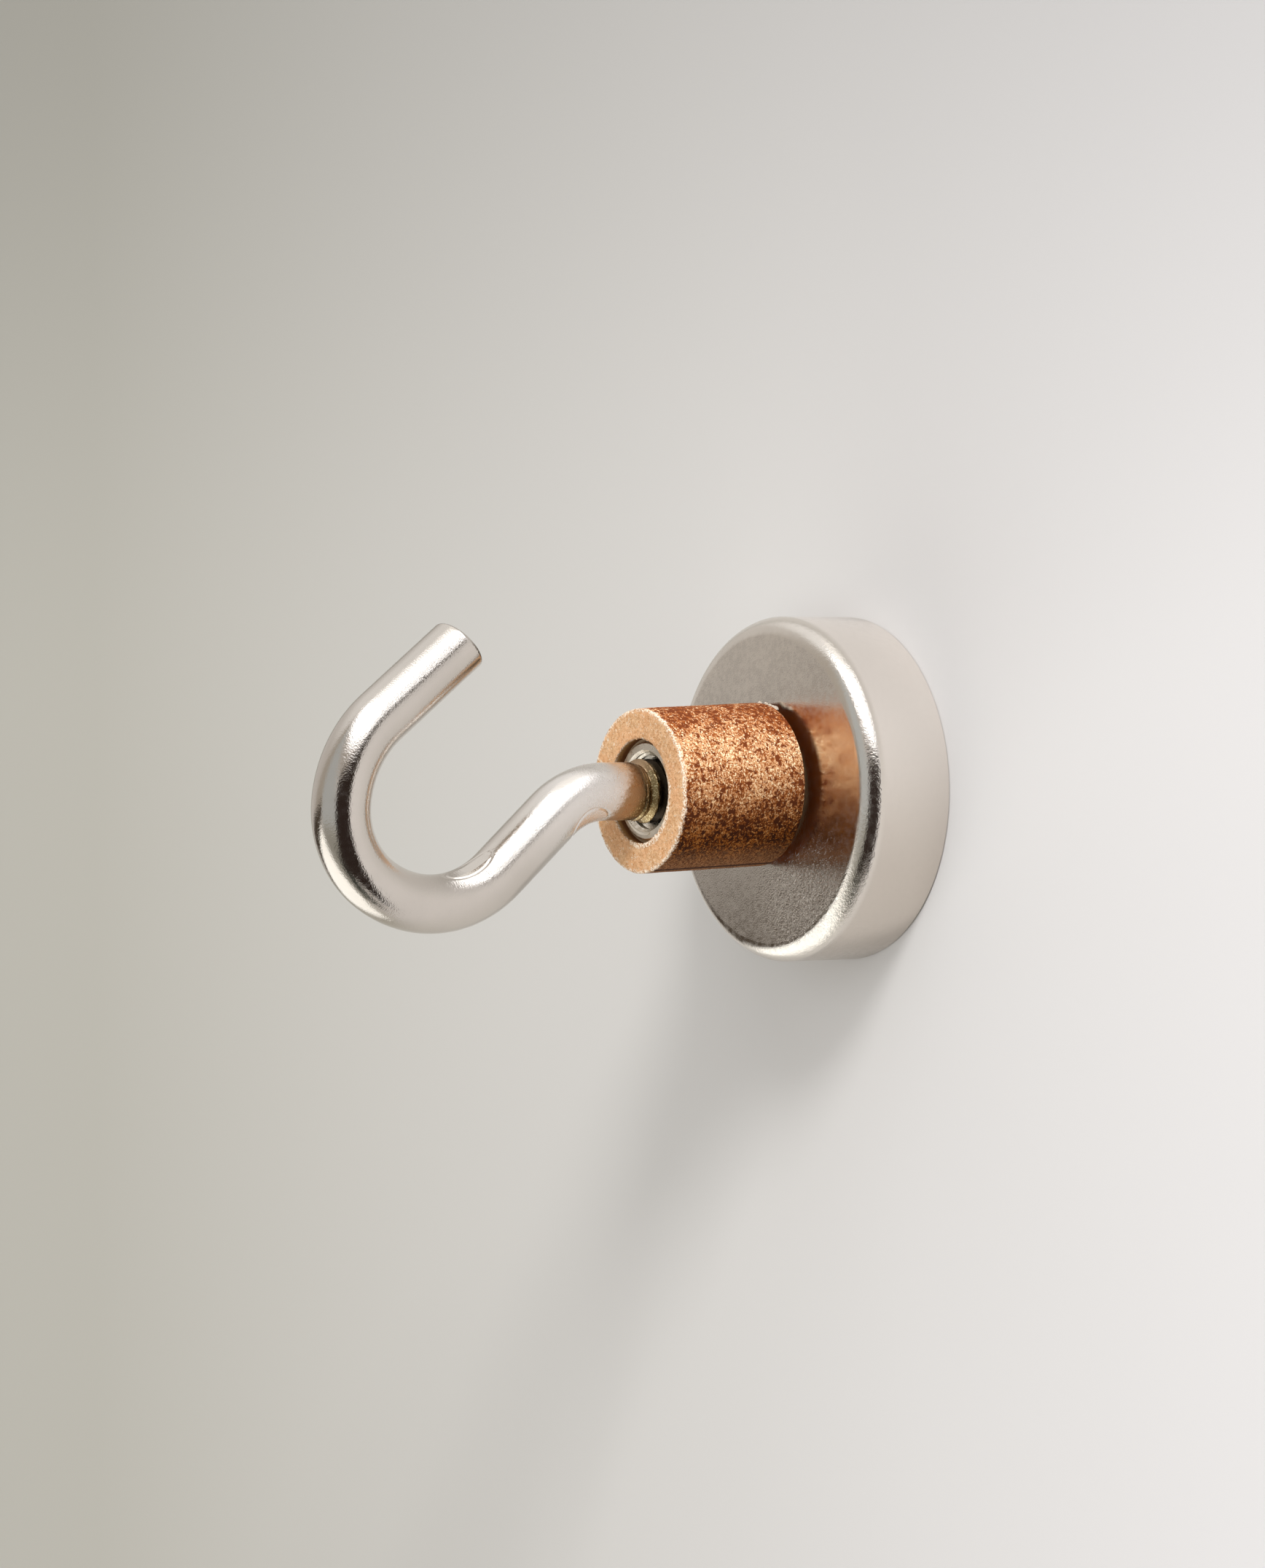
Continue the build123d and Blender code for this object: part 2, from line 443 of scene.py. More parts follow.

# Side: dark rust under a broken pale skin, with more rust at the top edge, and more below, where it is
# painted shade. Each colour has a painted shaded tone for the lower side and a painted lit one. Levels
# are shares of the radius, and limits are where a pattern of 0 to 1 gives way from one colour to the
# next.
pale_tones = ((0.28, 0.083, 0.010), (0.64, 0.345, 0.165))
rust_tones = ((0.075, 0.018, 0.003), (0.30, 0.080, 0.018))
cream_tones = ((0.40, 0.17, 0.045), (0.92, 0.72, 0.46))
spot_tones = ((0.035, 0.010, 0.004), (0.17, 0.042, 0.013))
streak_tones = ((0.12, 0.045, 0.016), (0.36, 0.17, 0.075))
seam_colour = (0.05, 0.018, 0.008)
lit_levels = (-0.70, 0.50)
top_levels = (0.50, 1.0)
low_levels = (-0.60, 0.45)
under_levels = (-0.92, -0.62)
seam_level = -0.955
seam_width = (0.006, 0.016)
pale_limits = (0.455, 0.535)
cream_limits = (0.56, 0.63)
spot_limits = (0.385, 0.420)
streak_limits = (0.38, 0.60)
under_share = 0.75
patch_reach = 0.26
top_rust = -0.10
low_painted_shade = -0.06
fine_share = 0.75
cream_size = 0.19 * mm
cream_cover_share = 0.6

cover_and_shade = leather.sway(patches, patch_reach)
cover_and_shade = leather.calc("ADD", cover_and_shade, leather.ramp(level, *top_levels, 0.0, top_rust))
# More rust below: painted shade.
cover_and_shade = leather.calc("ADD", cover_and_shade, leather.ramp(level, *low_levels, low_painted_shade, 0.0))
speckle = leather.calc("MULTIPLY", fine, fine_share)
speckle = leather.calc("ADD", speckle, leather.calc("MULTIPLY", clumps, 1 - fine_share))
speckle = leather.calc("ADD", speckle, cover_and_shade)
cream_mask = leather.noise(cream_size, detail=1, distortion=0.8)
cream_mask = leather.calc("ADD", cream_mask, leather.calc("MULTIPLY", cover_and_shade, cream_cover_share))
lit = leather.ramp(level, *lit_levels)
pale, rust, cream, spot = (
    leather.mix(lit, shaded_tone, lit_tone)
    for shaded_tone, lit_tone in (pale_tones, rust_tones, cream_tones, spot_tones)
)
side = leather.mix(leather.ramp(speckle, *pale_limits), rust, pale)
side = leather.mix(leather.ramp(cream_mask, *cream_limits), side, cream)
side = leather.mix(leather.ramp(leather.calc("ADD", clumps, cover_and_shade), *spot_limits), spot, side)
streaks = leather.mix(leather.ramp(fine, *streak_limits), *streak_tones)
side = leather.mix(leather.ramp(level, *under_levels, under_share, 0.0), side, streaks)
from_seam = leather.calc("ABSOLUTE", leather.calc("SUBTRACT", level, seam_level))
side = leather.mix(leather.ramp(from_seam, *seam_width), seam_colour, side)

# Cut ends: tan and fibrous, with torn pale fibres where the edges are rough, most at the lower right of
# the bore. The rear end is darker, and the bore carries painted shade, darker further in.
tan_tones = ((0.53, 0.295, 0.14), (0.77, 0.50, 0.29))
rosy_tan = (0.70, 0.34, 0.16)
fleck_colour = (0.48, 0.23, 0.09)
hair_colour = (0.74, 0.58, 0.42)
raw_tones = ((0.50, 0.27, 0.13), (0.88, 0.75, 0.60))
rear_colour = (0.30, 0.078, 0.012)
bore_painted_shade_tones = ((0.46, 0.26, 0.10), (0.17, 0.07, 0.025))
tan_limits = (0.3, 0.7)
rosy_limits = (0.35, 0.65)
rosy_share = 0.4
fleck_limits = (0.35, 0.42)
hair_limits = (0.60, 0.68)
raw_limits = (0.36, 0.60)
fibre_size = 0.3 * mm
fleck_size = 0.22 * mm
hair_size = 0.25 * mm
wander_size = 0.45 * mm
wander_reach = 1.1 * mm
tear_places = (0.2 * sleeve_radius, 0.9 * sleeve_radius)
tear_widths = (-0.05 * mm, 0.45 * mm)
skin_start = (0.16 * mm, 0.40 * mm)
cut_start = (0.12 * mm, 0.40 * mm)
torn_start = (-0.10 * mm, 0.12 * mm)
rear_start = (1 * mm, 6 * mm)
bore_shade_start = (0.15 * mm, 0.4 * mm)
bore_shade_fade = (0.3 * mm, 0.9 * mm)
bore_shade_edge = (0.02 * mm, 0.10 * mm)
side_skin = (0.10 * mm, 0.16 * mm)
nap_depth = 0.05 * mm

fibres = leather.noise(fibre_size, detail=4, roughness=0.65, distortion=0.3)
flecks = leather.ramp(leather.noise(fleck_size, distortion=0.6), *fleck_limits)
hairs = leather.ramp(leather.noise(hair_size, distortion=1.2), *hair_limits)
end = leather.mix(leather.ramp(fibres, *tan_limits), *tan_tones)
end = leather.mix(leather.ramp(patches, *rosy_limits, 0.0, rosy_share), end, rosy_tan)
end = leather.mix(flecks, fleck_colour, end)
end = leather.mix(hairs, end, hair_colour)
raw = leather.mix(leather.ramp(fine, *raw_limits), *raw_tones)
wander = leather.sway(leather.noise(wander_size, detail=5, roughness=0.7), wander_reach)
tear = leather.ramp(leather.calc("SUBTRACT", leather.x, upright), *tear_places, *tear_widths)
cut = leather.ramp(leather.calc("ADD", from_skin, wander), *cut_start)
torn = leather.calc("SUBTRACT", leather.calc("ADD", from_bore, wander), tear)
cut = leather.calc("MULTIPLY", cut, leather.ramp(torn, *torn_start))
face = leather.mix(cut, raw, end)
face = leather.mix(leather.ramp(from_mouth, *rear_start), face, rear_colour)
# Painted shade in the bore, darker further in.
bore_shade = leather.mix(leather.ramp(from_mouth, *bore_shade_fade), *bore_painted_shade_tones)
bore_shade = leather.mix(leather.ramp(from_mouth, *bore_shade_start), face, bore_shade)
face = leather.mix(leather.ramp(from_bore, *bore_shade_edge, 1.0, 0.0), face, bore_shade)
skin = leather.mix(leather.ramp(leather.calc("ADD", from_mouth, wander), *skin_start), raw, side)
leather.set(
    Base_Color=leather.mix(leather.ramp(from_skin, *side_skin, 1.0, 0.0), face, skin),
    Normal=leather.relief(fine, nap_depth, leather.relief(clumps, nap_depth)),
)
placed(sleeve, "sleeve_tube", "magnet_body", "sleeve_leather", leather.material, "sleeve")

# Glue: clear brown, between bush and sleeve. Some has squeezed out over the sleeve's rear rim
# and set there as a few small pale shreds.
shred_radius = 0.19 * mm
shred_stretch = (1.3, 1.0, 0.8)
shred_lumps = 0.25 * mm
shred_tears = 0.09 * mm
shred_tear_share = 0.6
shred_roughness = 0.09 * mm

# Each shred: degrees round from the top, millimetres behind the rear rim and out from the skin.
shred_places = (
    (4, -0.2, -0.05),
    (9, 0.02, -0.03),
    (16, 0.30, -0.12),
    (21, 0.12, -0.08),
    (12, 0.15, -0.1),
)

glue = cured(
    "sleeve_glue",
    colour=(0.36, 0.26, 0.16),
    roughness=0.3,
    lump_size=0.4 * mm,
    lump_depth=0.03 * mm,
)
nodes["sleeve_glue"].material_slots[0].material = glue
pale_glue = cured(
    "bead_glue",
    colour=(0.52, 0.44, 0.35),
    roughness=0.5,
    lump_size=0.3 * mm,
    lump_depth=0.03 * mm,
)
squeezed = bmesh.new()
for around, behind, proud in shred_places:
    shred = bmesh.ops.create_icosphere(squeezed, subdivisions=4, radius=shred_radius)["verts"]
    bmesh.ops.scale(squeezed, verts=shred, vec=shred_stretch)
    on_rim = (0, sleeve_rear_y + behind * mm, sleeve_radius + proud * mm)
    bmesh.ops.translate(squeezed, verts=shred, vec=on_rim)
    matrix = Matrix.Rotation(radians(around), 3, "Y")
    bmesh.ops.rotate(squeezed, verts=shred, cent=(0, 0, 0), matrix=matrix)
lift = sleeve_lean * (sleeve_rear_y - sleeve_mouth_y)
bmesh.ops.translate(squeezed, verts=squeezed.verts[:], vec=(0, 0, lift))
for vert in squeezed.verts:
    ragged = noise.noise(vert.co / shred_lumps) + shred_tear_share * noise.noise(vert.co / shred_tears)
    vert.co += vert.normal * shred_roughness * ragged
placed(squeezed, "glue_squeeze", "magnet_body", "glue", pale_glue)

# Hook: steel wire, its shank thread-rolled, bent cold to an open hook and nickel-plated. The
# bending tool left two shallow grip marks. It screws into the bush and turns there.
shank_end_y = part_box("hook")[1].y
wire_radius = 2.65 * mm
wire_segments = 128
hook_step = 0.3 * mm
shank_end_chamfer = 0.4 * mm
shank_end_rings = 2
thread_end_y = sleeve_mouth_y - 0.9 * mm
thread_pitch = 1.0 * mm
thread_crest_radius = 2.95 * mm
thread_root_radius = 2.45 * mm
thread_crest_width = 0.12 * mm
thread_valley_width = 0.16 * mm
thread_fade = 0.9 * mm
thread_step = 0.0625 * mm

# The bends, each with its radius and its angle in degrees, and the straight runs between them.
hook_lead = 3.85 * mm
neck_bend = (8.2 * mm, -41.4)
neck_straight = 7.8 * mm
under_bend = (10.4 * mm, 77.0)
front_bend = (8.0 * mm, 60.6)
rise_bend = (10.9 * mm, 45.4)
tip_straight = 10.5 * mm
tip_round = 0.35 * mm
tip_rings = 6
tip_slant = 0.09

# Grip marks, on the inner side of two bends: an oval groove on the neck, and in the bend below it
# a pressed pad with a shallower groove round it. Each has its place along the bend and the angle
# that it is turned round the wire from +X towards the bend's inner side.
neck_mark = {
    "share": 0.58,
    "around": radians(58),
    "half_length": 2.1 * mm,
    "half_width": 1.5 * mm,
    "pad_depth": 0.0,
    "groove_depth": 0.10 * mm,
}
under_mark = {
    "share": 0.22,
    "around": radians(70),
    "half_length": 2.6 * mm,
    "half_width": 1.0 * mm,
    "pad_depth": 0.04 * mm,
    "groove_depth": 0.05 * mm,
}
groove_width = 0.14 * mm
mark_reach = 1.4
far_from_mark = 2.0
mark_cuts = 3


def extruded(bm, rim):
    """Extrudes an open rim in place, and gives its new points and new edges."""
    grown = bmesh.ops.extrude_edge_only(bm, edges=rim)["geom"]
    points = [part for part in grown if isinstance(part, bmesh.types.BMVert)]
    return points, [part for part in grown if isinstance(part, bmesh.types.BMEdge)]


def run_on(bm, rim, direction, length, step):
    """Extrudes an open rim straight on, and cuts the new stretch into equal steps."""
    points, rim = extruded(bm, rim)
    bmesh.ops.translate(bm, verts=points, vec=direction * length)
    lengthwise = list({edge for vert in points for edge in vert.link_edges} - set(rim))
    bmesh.ops.subdivide_edges(bm, edges=lengthwise, cuts=round(length / step) - 1)
    return rim


def along_bend(place, heading, bend, share):
    """Centre of a bend, and the wire's middle, heading and inner side some way along it."""
    bend_radius, turn = bend
    side = Vector((1, 0, 0)).cross(heading) * (-1 if turn > 0 else 1)
    centre = place + side * bend_radius
    turned_by = Matrix.Rotation(radians(-turn * share), 3, "X")
    return centre, centre + turned_by @ (place - centre), turned_by @ heading, turned_by @ side


def bend_on(bm, rim, place, heading, bend):
    """Spins an open rim round a bend, upwards where the angle is positive."""
    bend_radius, turn = bend
    centre, place, heading, _ = along_bend(place, heading, bend, 1)
    grown = bmesh.ops.spin(
        bm,
        geom=rim,
        cent=centre,
        axis=(1, 0, 0),
        angle=radians(-turn),
        steps=round(bend_radius * abs(radians(turn)) / hook_step),
        use_duplicate=False,
    )["geom_last"]
    rim = [part for part in grown if isinstance(part, bmesh.types.BMEdge)]
    return rim, place, heading


def rounded_end(bm, rim, place, heading, size, rings):
    """Closes an open rim with a rounded edge and a flat end."""
    depth = 0.0
    inset = 0.0
    for ring in range(1, rings + 1):
        angle = pi / 2 * ring / rings
        points, rim = extruded(bm, rim)
        bmesh.ops.translate(bm, verts=points, vec=heading * (size * sin(angle) - depth))
        depth = size * sin(angle)
        shrink = (wire_radius - size * (1 - cos(angle))) / (wire_radius - inset)
        inset = size * (1 - cos(angle))
        space = Matrix.Translation(-place - heading * depth)
        bmesh.ops.scale(bm, verts=points, vec=(shrink, shrink, shrink), space=space)
    bmesh.ops.edgeloop_fill(bm, edges=rim)


def grip_mark(bm, start, bend, share, around, half_length, half_width, pad_depth, groove_depth):
    """Presses a shallow oval pad into a bend and a fine groove round it."""
    _, middle, along, inwards = along_bend(*start, bend, share)
    normal = Vector((cos(around), 0, 0)) + inwards * sin(around)
    across = along.cross(normal)

    def measured(point):
        offset = point - middle - normal * wire_radius
        oval = hypot(offset.dot(along) / half_length, offset.dot(across) / half_width)
        faces_mark = offset.dot(normal) > -wire_radius / 2
        return oval if faces_mark else far_from_mark, offset.dot(across)

    near = [edge for edge in bm.edges if all(measured(vert.co)[0] < mark_reach for vert in edge.verts)]
    bmesh.ops.subdivide_edges(bm, edges=near, cuts=mark_cuts, use_grid_fill=True)
    for vert in bm.verts:
        oval, sideways = measured(vert.co)
        if oval < 1:
            vert.co -= normal * max(0.0, pad_depth - sideways**2 / (2 * wire_radius))
        if oval < far_from_mark:
            from_groove = abs(oval - 1) * half_width / groove_width
            vert.co -= normal * groove_depth * max(0.0, 1 - from_groove)


hook = bmesh.new()
heading = Vector((0, -1, 0))
place = Vector((0, thread_end_y, 0))
start = Matrix.Translation(place) @ Matrix.Rotation(pi / 2, 4, "X")
bmesh.ops.create_circle(hook, segments=wire_segments, radius=wire_radius, matrix=start)
first_rim = hook.edges[:]
lead = thread_end_y - (sleeve_mouth_y - hook_lead)
rim = run_on(hook, first_rim, heading, lead, hook_step)
place = place + heading * lead
neck_start = (place, heading)
rim, place, heading = bend_on(hook, rim, place, heading, neck_bend)
rim = run_on(hook, rim, heading, neck_straight, hook_step)
place = place + heading * neck_straight
under_start = (place, heading)
for bend in (under_bend, front_bend, rise_bend):
    rim, place, heading = bend_on(hook, rim, place, heading, bend)
rim = run_on(hook, rim, heading, tip_straight - tip_round, hook_step)
tip = place + heading * (tip_straight - tip_round)
rounded_end(hook, rim, tip, heading, tip_round, tip_rings)
outer = Vector((1, 0, 0)).cross(heading)
tip_axis = heading + outer * tip_slant
for vert in hook.verts:
    offset = vert.co - tip
    if offset.length < 2 * wire_radius:
        share = min(1.0, max(0.0, 1 + offset.dot(heading) / wire_radius))
        vert.co -= heading * tip_slant * share * offset.dot(outer)
grip_mark(hook, neck_start, neck_bend, **neck_mark)
grip_mark(hook, under_start, under_bend, **under_mark)

# Shank: the same wire run on towards the wall, its points moved out and in to the thread's form.
shank_length = shank_end_y - shank_end_chamfer - thread_end_y
run_on(hook, first_rim, Vector((0, 1, 0)), shank_length, thread_step)
end_rim = [
    edge
    for edge in hook.edges
    if edge.is_boundary and edge.verts[0].co.y > thread_end_y + thread_pitch
]
flank = (thread_pitch - thread_crest_width - thread_valley_width) / 2
for vert in hook.verts:
    if vert.co.y < thread_end_y + join_distance:
        continue
    angle = atan2(vert.co.x, vert.co.z)
    turn = (vert.co.y / thread_pitch - angle / (2 * pi)) % 1
    from_crest = abs(turn - 0.5) * thread_pitch - thread_crest_width / 2
    crest = 1 - min(1.0, max(0.0, from_crest / flank))
    fade = min(1.0, (vert.co.y - thread_end_y) / thread_fade)
    shoulder = min(1.0, (vert.co.y - thread_end_y) / (wire_radius - thread_root_radius))
    root = wire_radius + (thread_root_radius - wire_radius) * shoulder
    share = (root + (thread_crest_radius - root) * crest * fade) / hypot(vert.co.x, vert.co.z)
    vert.co.x *= share
    vert.co.z *= share
shank_end = Vector((0, shank_end_y - shank_end_chamfer, 0))
rounded_end(hook, end_rim, shank_end, Vector((0, 1, 0)), shank_end_chamfer, shank_end_rings)
bmesh.ops.recalc_face_normals(hook, faces=hook.faces[:])

# Plate: duller towards the shank, where it is rubbed, and paler there, a painted sheen. Before the sleeve
# it is brown, partly a stain and partly a painted reflection of the sleeve's end. Then it is painted dark
# brown with specks, a painted reflection of the shaded bush, reaching further out on the wire's lower
# side, and it has painted shade inside the sleeve. Places are along the thread's axis.
dull_start = (thread_end_y - 12 * mm, thread_end_y - 3 * mm)
dull_rise = 0.15
sheen_start = (thread_end_y - 14 * mm, thread_end_y - 7 * mm)
painted_sheen_colour = (0.78, 0.735, 0.69)
stain_and_reflection_start = (thread_end_y - 2.6 * mm, thread_end_y - 1.5 * mm)
stain_and_reflection_share = 0.92
stain_and_reflection_colour = (0.38, 0.235, 0.115)
thread_reflection_start = (thread_end_y - 0.5 * mm, thread_end_y + 0.4 * mm)
tint_sag = 0.5
thread_painted_reflection_tones = ((0.30, 0.21, 0.10), (0.72, 0.60, 0.35))
tint_wander_size = 0.3 * mm
tint_wander_reach = 2.4 * mm
thread_speck_size = 0.15 * mm
thread_speck_limits = (0.55, 0.65)
inside_shade_start = (sleeve_mouth_y + 0.5 * mm, sleeve_mouth_y + 0.9 * mm)
inside_painted_shade_colour = (0.03, 0.022, 0.014)

hook_plate = nickel(
    "hook_nickel",
    colour=(0.66, 0.61, 0.555),
    roughness=0.145,
    grain=0.14 * mm,
    grain_depth=0.014 * mm,
)
dullness = hook_plate.ramp(hook_plate.y, *dull_start, 0.0, dull_rise)
# Painted sheen: paler towards the shank.
painted_sheen = hook_plate.ramp(hook_plate.y, *sheen_start)
hook_colour = hook_plate.mix(painted_sheen, hook_plate.colour, painted_sheen_colour)
tint_wander = hook_plate.noise(tint_wander_size, detail=5, roughness=0.7)
tint_place = hook_plate.calc("ADD", hook_plate.y, hook_plate.sway(tint_wander, tint_wander_reach))
tint_place = hook_plate.calc("SUBTRACT", tint_place, hook_plate.calc("MULTIPLY", hook_plate.z, tint_sag))
# Brown before the sleeve: partly a stain, partly a painted reflection of the sleeve's end.
stain_and_reflection = hook_plate.ramp(tint_place, *stain_and_reflection_start, 0.0, stain_and_reflection_share)
hook_colour = hook_plate.mix(stain_and_reflection, hook_colour, stain_and_reflection_colour)
# Thread painted dark brown with specks, a painted reflection of the shaded bush.
thread_specks = hook_plate.ramp(hook_plate.noise(thread_speck_size), *thread_speck_limits)
thread_painted_reflection = hook_plate.mix(thread_specks, *thread_painted_reflection_tones)
hook_colour = hook_plate.mix(hook_plate.ramp(tint_place, *thread_reflection_start), hook_colour, thread_painted_reflection)
# Painted shade inside the sleeve.
hook_colour = hook_plate.mix(hook_plate.ramp(hook_plate.y, *inside_shade_start), hook_colour, inside_painted_shade_colour)

# Cut end: a dark, ragged line on its inner half, painted shade along the edge where the shear left a
# burr. Places are past the end, towards the outer side, and along the Y axis, which keeps it off the
# neck.
burr_shade_start = (-0.34 * mm, -0.24 * mm)
burr_shade_end = (-0.10 * mm, -0.03 * mm)
burr_shade_side = (-0.2 * wire_radius, 0.3 * wire_radius)
burr_shade_reach = (tip.y + 2 * wire_radius, tip.y + 3 * wire_radius)
burr_shade_share = 0.85
burr_shade_size = 0.2 * mm
burr_shade_wander = 0.35 * mm
burr_shade_colour = (0.10, 0.075, 0.05)

past_end = hook_plate.measure("DOT_PRODUCT", hook_plate.place, tip_axis)
past_end = hook_plate.calc("SUBTRACT", past_end, tip.dot(tip_axis) + tip_round)
to_outer = hook_plate.measure("DOT_PRODUCT", hook_plate.place, outer)
to_outer = hook_plate.calc("SUBTRACT", to_outer, tip.dot(outer))
# The dark line at the cut end is painted shade.
burr_painted_shade = hook_plate.sway(hook_plate.noise(burr_shade_size, detail=3), burr_shade_wander)
burr_painted_shade = hook_plate.ramp(hook_plate.calc("ADD", past_end, burr_painted_shade), *burr_shade_start, 0.0, burr_shade_share)
for measure, limits in ((past_end, burr_shade_end), (to_outer, burr_shade_side), (hook_plate.y, burr_shade_reach)):
    burr_painted_shade = hook_plate.calc("MULTIPLY", burr_painted_shade, hook_plate.ramp(measure, *limits, 1.0, 0.0))
hook_plate.set(
    Base_Color=hook_plate.mix(burr_painted_shade, hook_colour, burr_shade_colour),
    Roughness=hook_plate.calc("ADD", hook_plate.dullness, dullness),
)
placed(hook, "hook_wire", "hook_body", "hook_nickel", hook_plate.material, "hook")

# Wall that the magnet holds to: seen from its front only, and open behind the magnet, so that the back of
# the part shows. Its paint has painted light, paler to the right, and painted shade, greyer at the top,
# and it ends a little above the camera's view.
wall_opening = 15.5 * mm
wall_reach = 800 * mm
wall_top = 105 * mm
wall_segments = 96
wall_left = -150 * mm
wall_right = 75 * mm
wall_dim_painted_colour = (0.455, 0.438, 0.392)
wall_lit_painted_colour = (0.728, 0.710, 0.710)
wall_painted_shade_low = 0.0
wall_painted_shade_high = 110 * mm
wall_painted_shade = 0.30

paint = Finish("wall_paint", Roughness=0.9, Specular_IOR_Level=0.1)
# Painted light: paler towards the right.
painted_light_falloff = paint.add("MapRange")
for socket, value in zip(painted_light_falloff.inputs, (paint.x, wall_left, wall_right)):
    paint.feed(socket, value)
painted_light_tone = paint.mix(painted_light_falloff.outputs["Result"], wall_dim_painted_colour, wall_lit_painted_colour)
# Painted shade: greyer towards the top.
painted_top_shade = paint.ramp(paint.z, wall_painted_shade_low, wall_painted_shade_high, 0.0, wall_painted_shade)
paint.set(Base_Color=paint.mix(painted_top_shade, painted_light_tone, (0.0, 0.0, 0.0)))
front_only = paint.add("MixShader")
paint.feed(front_only.inputs[0], paint.add("NewGeometry").outputs["Backfacing"])
paint.feed(front_only.inputs[1], paint.shader.outputs[0])
paint.feed(front_only.inputs[2], paint.add("BsdfTransparent").outputs[0])
paint.feed(paint.tree.nodes["Material Output"].inputs[0], front_only.outputs[0])

wall = bmesh.new()
upright_circle = Matrix.Rotation(-pi / 2, 4, "X")
bmesh.ops.create_circle(wall, segments=wall_segments, radius=wall_opening, matrix=upright_circle)
outer_points, _ = extruded(wall, wall.edges[:])
bmesh.ops.scale(wall, verts=outer_points, vec=Vector((1, 1, 1)) * wall_reach / wall_opening)
for vert in outer_points:
    vert.co.z = min(vert.co.z, wall_top)
wall.normal_update()
wall_piece = shown(wall, "wall", paint.material)

# Floor and backdrop: one plain pale shell with a flat floor, far round the part. It is there
# for the views from other sides, and the metal mirrors the room instead of it.
floor_z = -800 * mm
shell_radius = 3.0
shell = bmesh.new()
bmesh.ops.create_uvsphere(shell, u_segments=64, v_segments=32, radius=shell_radius)
bmesh.ops.bisect_plane(
    shell,
    geom=shell.verts[:] + shell.edges[:] + shell.faces[:],
    plane_co=(0, 0, floor_z),
    plane_no=(0, 0, -1),
    clear_outer=True,
)
bmesh.ops.edgeloop_fill(shell, edges=[edge for edge in shell.edges if edge.is_boundary])
shell_paint = Finish("floor_paint", Base_Color=(0.52, 0.51, 0.49), Roughness=0.8)
shell_piece = shown(shell, "floor", shell_paint.material)
shell_piece.data.shade_smooth()
shell_piece.visible_glossy = False
shell_piece.visible_diffuse = False
shell_piece.visible_shadow = False

# Light: a soft key lamp high on the camera's side, a broad fill from the front right, and a room
# that is pale on the left, white low on the left and overhead, and dark round the camera. The
# metal mirrors the room, not the lamps.
key_direction = Vector((1.55, -1.0, 1.85)).normalized()
key_distance = 1.5
key_size = 0.42
key_power = 15
fill_direction = Vector((0.6, -1.0, 0.1)).normalized()
fill_distance = 2.2
fill_size = 2.4
fill_power = 20
room_map_resolution = 256


def lamp(name, direction, distance, size, power):
    """Round soft lamp that faces the part and that the metal doesn't mirror."""
    data = bpy.data.lights.new(name, "AREA")
    data.shape = "DISK"
    data.size = size
    data.energy = power
    light = bpy.data.objects.new(name, data)
    bpy.context.scene.collection.objects.link(light)
    light.location = direction * distance
    light.rotation_euler = direction.to_track_quat("Z", "Y").to_euler()
    light.visible_glossy = False


lamp("key", key_direction, key_distance, key_size, key_power)
lamp("fill", fill_direction, fill_distance, fill_size, fill_power)

world = bpy.data.worlds.new("room")
bpy.context.scene.world = world
world.use_nodes = True
world.cycles.sampling_method = "MANUAL"
world.cycles.sample_map_resolution = room_map_resolution
room = Nodes(world.node_tree)
direction = room.add("SeparateXYZ")
room.feed(direction.inputs[0], room.add("TexCoord").outputs["Generated"])
forwards = room.calc("MULTIPLY", direction.outputs["Y"], -1.0)
from_front = room.calc("DEGREES", room.calc("ARCTAN2", direction.outputs["X"], forwards))
upwards = room.calc("DEGREES", room.calc("ARCSINE", direction.outputs["Z"]))
bearing = room.vector(from_front, upwards, 1.0)

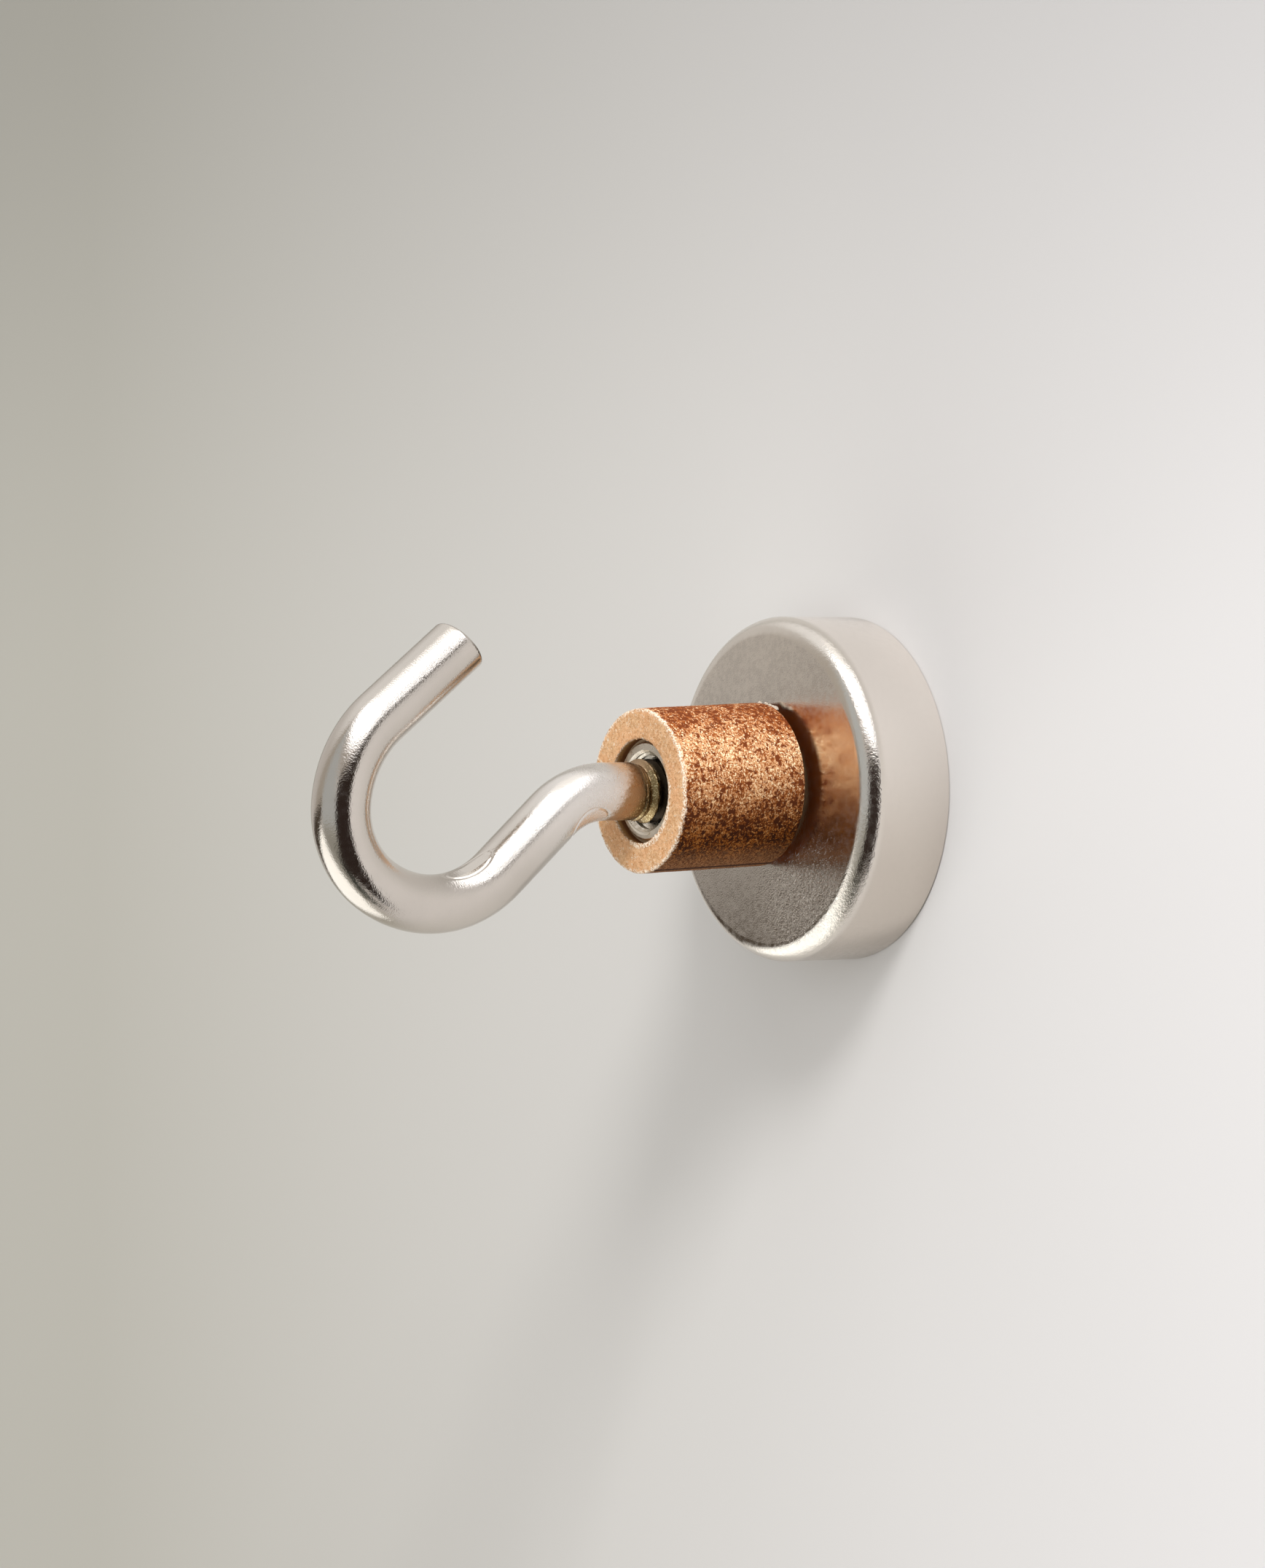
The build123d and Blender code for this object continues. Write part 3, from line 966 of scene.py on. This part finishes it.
# Each stretch of the room: its colour, how soft its edges are, and its corners, as degrees
# round from straight in front and degrees up, listed counterclockwise.
left_wall = (0.64, 0.61, 0.58)
dark_corner = (0.032, 0.022, 0.018)
stretches = [
    ((0.94, 0.93, 0.92), 34, [(-200, 40), (60, 40), (60, 120), (-200, 120)]),
    ((0.46, 0.42, 0.37), 16, [(-62, 0), (-14, -4), (-4, 58), (-22, 58), (-42, 26)]),
    (
        (0.52, 0.54, 0.54),
        8,
        [(-19, -14), (42, -14), (38, 8), (20, 32), (3, 52), (-7, 50), (-19, 20)],
    ),
    ((0.46, 0.42, 0.38), 8, [(4, 50), (22, 30), (40, 20), (110, 18), (110, 40), (5, 66)]),
    ((0.36, 0.35, 0.31), 12, [(-30, -80), (45, -80), (45, -14), (-30, -10)]),
    (dark_corner, 6, [(38, -40), (120, -52), (120, 22), (34, 20), (37, 0), (39, -18)]),
    (dark_corner, 5, [(25, -46), (120, -60), (120, -12), (38, -12)]),
    ((0.075, 0.078, 0.066), 5, [(22, -32), (34, -74), (120, -78), (120, -50), (42, -46)]),
    ((0.018, 0.017, 0.014), 4, [(16, -30), (30, -62), (44, -76), (48, -76), (24, -30)]),
    ((0.15, 0.15, 0.155), 4, [(82, -60), (120, -60), (120, -50), (84, -50)]),
    (
        (1.55, 1.55, 1.50),
        16,
        [(-200, -120), (10, -120), (2, -60), (-20, -22), (-30, -8), (-95, -17), (-200, -33)],
    ),
    ((0.62, 0.60, 0.55), 10, [(-200, -120), (26, -120), (26, -78), (-200, -78)]),
    (
        (0.072, 0.055, 0.040),
        5,
        [(-95, -30), (-36, -15), (-20, -4), (-22, 5), (-45, 1), (-60, -3), (-95, -10)],
    ),
    (left_wall, 5, [(-200, -20), (-84, -20), (-84, 10), (-200, 10)]),
    ((2.3, 2.32, 2.4), 5, [(-14, 62), (45, 34), (90, 22), (200, 20), (200, 120), (-14, 120)]),
    ((1.20, 1.18, 1.14), 8, [(-200, 74), (200, 74), (200, 120), (-200, 120)]),
    ((0.05, 0.04, 0.035), 1, [(88, 12), (92, 12), (92, 72), (88, 72)]),
    ((0.08, 0.065, 0.05), 2, [(90.5, -4), (108, 28), (102, 40), (88, 12)]),
]
colour = left_wall
for tint, softness, corners in stretches:
    depth = None
    for (x0, y0), (x1, y1) in zip(corners, corners[1:] + corners[:1]):
        inwards = Vector((y0 - y1, x1 - x0)).normalized()
        edge = (inwards.x, inwards.y, -inwards.dot(Vector((x0, y0))))
        edge_depth = room.measure("DOT_PRODUCT", bearing, edge)
        depth = edge_depth if depth is None else room.calc("MINIMUM", depth, edge_depth)
    colour = room.mix(room.ramp(depth, -softness / 2, softness / 2), colour, tint)
room.feed(room.tree.nodes["Background"].inputs["Color"], colour)

bpy.context.scene.view_settings.view_transform = "Standard"
